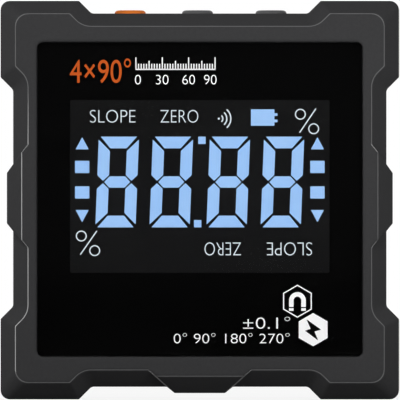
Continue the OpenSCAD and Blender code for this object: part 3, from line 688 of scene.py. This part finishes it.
def laid_on(name, parts, material):
    """One piece from several (points, faces) pairs, carried by the gauge's body."""
    starts = np.cumsum([0] + [len(points) for points, _ in parts])
    mesh = bpy.data.meshes.new(name)
    mesh.from_pydata(
        np.concatenate([points for points, _ in parts]).tolist(),
        [],
        [[int(start) + v for v in face] for start, (_, faces) in zip(starts, parts) for face in faces],
    )
    mesh.materials.append(material)
    piece = bpy.data.objects.new(name, mesh)
    bpy.context.scene.collection.objects.link(piece)
    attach(piece, "gauge")


PX = 0.15056
picture_middle, picture_floor = 199.8, 399.4


def photo_mm(points):
    """Places measured on the picture in pixels, as mm across from the middle and up from the floor."""
    points = np.asarray(points, float)
    across = (points[..., 0] - picture_middle) * PX
    return np.stack([across, (picture_floor - points[..., 1]) * PX], axis=-1)


thin, thick, dot_height = 1.1 * PX, 1.265 * PX, 1.8 * PX
ring_radius, sound_radii = 4.9 * PX, (4.2 * PX, 8.2 * PX, 12.2 * PX)
cell_height, contact_height = 16.4 * PX, 2.7 * PX
sign_rings = [(300.3, 114.3), (313.6, 128.8), (81.4, 236.0), (94.8, 250.6)]
sign_slashes = [[(299.5, 132.7), (315.8, 108.7)], [(80.4, 254.6), (96.9, 230.9)]]
sound_source, sound_dot = (218.6, 118.7), [(217.9, 118.7), (219.7, 118.7)]
cell_line = [(250.9, 117.6), (274.4, 117.6)]
contact_ends, contact_rows = (274.4, 277.4), (114.65, 121.0)
strips = [ribbon(ring(photo_mm(c), ring_radius), thin, True) for c in sign_rings]
strips += [ribbon(photo_mm(s), thin) for s in sign_slashes]
strips += [ribbon(bow(photo_mm(sound_source), r, -48, 48, 14), thick) for r in sound_radii]
strips += [ribbon(photo_mm(sound_dot), dot_height)]
cell_strips = [ribbon(photo_mm(cell_line), cell_height)]
cell_strips += [ribbon(photo_mm([(x, y) for x in contact_ends]), contact_height) for y in contact_rows]


def word_box(left, right, top, bottom):
    """Box of a word measured on the picture, as left, right, low, high in mm."""
    low, high = photo_mm([(left, bottom), (right, top)])
    return (low[0], high[0], low[1], high[1])


word_slim = 0.018
mode_words = (
    ("SLOPE", (90, 135.5, 110, 122.7), False),
    ("ZERO", (160.5, 198.3, 110, 122.7), False),
    ("ZERO", (204.5, 241, 242.3, 255.4), True),
    ("SLOPE", (266.7, 311.9, 242.3, 255.4), True),
)
words = [
    figures(body, word_box(*edges), glass_front, mark_rise, turned, word_slim)
    for body, edges, turned in mode_words
]
laid_on(
    "display_signs",
    [raised(strips, glass_front, mark_rise)] + words,
    lit_finish("display_signs", tone(222, 234, 241), tone(232, 241, 247)),
)
laid_on("charge_level", [raised(cell_strips, glass_front, mark_rise)], display_marks)

# Front housing: the front half of the body with bumpers, pads, bevelled bezel and window pocket,
# moulded in the same grained plastic. A painted highlight lies along the bezel's edge, fullest on the left
# where the light falls.
front_window = (25.2 * MM, 24.3 * MM)
# The bezel's left side, where the light falls, gets the full painted highlight.
lit_side = (-25.0 * MM, 4.0 * MM, 42.0 * MM)
front_shell = joined("front_housing", "front_shell")
mark_painted_highlight(front_shell, -half_depth, edge_depths, front_window, lit_side)
front_shell.data.materials.clear()
front_shell.data.materials.append(housing_plastic)

# Lens: a sheet of clear hard-coated acrylic, taped into the window pocket with black foam tape.
# Black ink on its back leaves only the window over the display glass clear.
dress(adhesive_foam, "lens_tape")
acrylic_ior = 1.49
lens_acrylic = surface(
    "lens_acrylic", tone(246, 247, 248), tone(252, 252, 252), 8.0, (0.02, 0.05), specular=0.2
)
shader = lens_acrylic.node_tree.nodes["Principled BSDF"]
shader.inputs["Transmission Weight"].default_value = 1.0
shader.inputs["IOR"].default_value = acrylic_ior
dress(lens_acrylic, "display_lens")

lens_back = -12.2 * MM
ink_thick = 0.02 * MM
ink_gap = 0.005 * MM
ink_edge = (24.35, 23.5)
lens_middle = (0.0, 30.1)
clear_half = (19.5, 12.98)
clear_middle = (0.0, 32.07)
ink_corner, clear_corner = 0.6, 0.2


def rounded_frame(half, middle, radius, steps=8):
    """Corner arcs of a rounded rectangle, counter-clockwise from the lower right."""
    signs = np.array([(1, -1), (1, 1), (-1, 1), (-1, -1)])
    centres = np.asarray(middle) + signs * (np.asarray(half) - radius)
    return np.concatenate([bow(c, radius, -90 + 90 * k, 90 * k, steps) for k, c in enumerate(centres)])


clear_edge = rounded_frame(clear_half, clear_middle, clear_corner)
outer_edge = rounded_frame(ink_edge, lens_middle, ink_corner)
black_ink = surface("black_ink", tone(6, 6, 6), tone(8, 8, 8), 2.0, (0.6, 0.8), specular=0.02)
laid_on(
    "ink_mask",
    [raised([(clear_edge, outer_edge, True)], lens_back - ink_gap, ink_thick)],
    black_ink,
)

# Print on the lens: orange and white figures, a degree scale and two plain signs for magnets and
# charging, silk-screened on the front of the lens in thin, slightly uneven coats.
lens_front = -13.7 * MM
print_rise = 0.01 * MM
print_slim = 0.013
orange_ink = surface(
    "orange_ink", tone(184, 80, 30), tone(196, 89, 35), 0.6, (0.45, 0.6), height=0.003, specular=0.05
)
white_ink = surface("white_ink", tone(251, 251, 251), tone(255, 255, 255), 0.6, (0.45, 0.6), height=0.003)
range_edges = (70, 131, 58.7, 83.2)
laid_on(
    "lens_range",
    [figures("4×90°", word_box(*range_edges), lens_front, print_rise)],
    orange_ink,
)
scale_left, scale_right, scale_foot, scale_end = 136.0, 215.0, 69.5, 0.5
scale_count, long_top, middle_top, short_top = 31, 57.5, 61.0, 64.0
mark_width, foot_width = 1.1 * PX, 1.2 * PX
row_top, row_foot = 75, 84.6
scale_figures = (("0", 135, 141), ("30", 156, 168.6), ("60", 182.4, 195), ("90", 204, 216.6))
lower_figures = (
    ("±0.1°", (243, 290, 316.7, 328.6)),
    ("0° 90° 180° 270°", (173.7, 289.5, 333, 343.2)),
)
scale_places = np.linspace(scale_left, scale_right, scale_count)
order = np.arange(scale_count)
scale_tops = np.where(order % 10 == 0, long_top, np.where(order % 5 == 0, middle_top, short_top))
scale_marks = [
    ribbon(photo_mm([(x, scale_foot), (x, top)]), mark_width) for x, top in zip(scale_places, scale_tops)
]
foot_line = photo_mm([(scale_left - scale_end, scale_foot), (scale_right + scale_end, scale_foot)])
scale_marks.append(ribbon(foot_line, foot_width))
white_figures = [
    figures(body, word_box(left, right, row_top, row_foot), lens_front, print_rise, slim=print_slim)
    for body, left, right in scale_figures
]
white_figures += [
    figures(body, word_box(*edges), lens_front, print_rise, slim=print_slim)
    for body, edges in lower_figures
]
laid_on(
    "lens_figures",
    [raised(scale_marks, lens_front, print_rise)] + white_figures,
    white_ink,
)


def hexagon(middle, radius):
    """Six corners of a hexagon that stands on a point, counter-clockwise from the upper right side."""
    return bow(photo_mm(middle), radius * PX, 30, 330, 6)


magnet_sign, magnet_radius = (297.3, 301.1), 15.9
charge_sign, charge_radius = (313.0, 329.5), 16.6
shoe_middle, shoe_radius, shoe_width = (297.3, 300.3), 6.1 * PX, 4.5 * PX
shoe_sides, shoe_foot, tip_edges = (291.2, 303.4), 306.8, (308.0, 310.7)
horseshoe = np.concatenate([
    photo_mm([(shoe_sides[0], shoe_foot)]),
    bow(photo_mm(shoe_middle), shoe_radius, 180, 0, 18),
    photo_mm([(shoe_sides[1], shoe_foot)]),
])
signs = [ribbon(hexagon(magnet_sign, magnet_radius), mark_width, True), ribbon(horseshoe, shoe_width)]
signs += [ribbon(photo_mm([(x, tip_edges[0]), (x, tip_edges[1])]), shoe_width) for x in shoe_sides]
filled = hexagon(charge_sign, charge_radius)
signs += [(filled[[1, 0, 5]], filled[[2, 3, 4]], False)]
laid_on("lens_signs", [raised(signs, lens_front, print_rise)], white_ink)

bolt_left = photo_mm([(306.6, 319.7), (310.4, 328.6), (304.8, 330.6), (317.4, 339.9)])
bolt_right = photo_mm([(307.0, 319.5), (320.8, 329.4), (314.4, 331.4), (317.8, 339.7)])
laid_on(
    "charge_bolt",
    [raised([(bolt_right, bolt_left, False)], lens_front - print_rise, print_rise)],
    black_ink,
)

# Buttons: three satin caps, the left one orange, moulded with a collar that keeps them in their
# openings in the top side. A rubber strip under the wall seals them.
button_turn = 32
orange_button = surface(
    "orange_button", tone(222, 116, 42), tone(234, 126, 50), 0.6, (0.5, 0.62), height=0.008, specular=0.2
)
grey_button = surface(
    "grey_button", tone(86, 86, 87), tone(94, 94, 95), 0.6, (0.5, 0.62), height=0.008, specular=0.2
)
for node, name, satin, slot in (
    ("power_button", "power_cap", orange_button, "orange_button"),
    ("hold_button", "hold_cap", grey_button, "grey_button"),
    ("zero_button", "zero_cap", grey_button, "grey_button"),
):
    cap = joined(node, name, crease=button_turn)
    cap.data.materials.clear()
    cap.data.materials.append(satin)
dress(seal_rubber, "button_seal")

# Magnets: nickel-plated discs glued into the bumpers of all four sides, a hair below their faces.
# Steel swarf and tables leave fine scratches on the plating.
magnet_nickel = surface(
    "magnet_nickel", tone(190, 188, 183), tone(202, 200, 195), 0.6, (0.24, 0.32), height=0.001, metal=1.0,
    stretch=(1, 0.08, 1)
)
dress(magnet_nickel, "magnets_bottom", "magnets_right", "magnets_top", "magnets_left")

# Socket cover: a plate, plug and barbed tether moulded in one piece of matt black silicone, which
# lies flush in the right side. Silicone draws a little dust.
cover_rubber = surface(
    "cover_rubber", tone(30, 30, 31), tone(44, 44, 45), 1.0, (0.6, 0.85), height=0.01, specular=0.25
)
dress(cover_rubber, "port_cover")
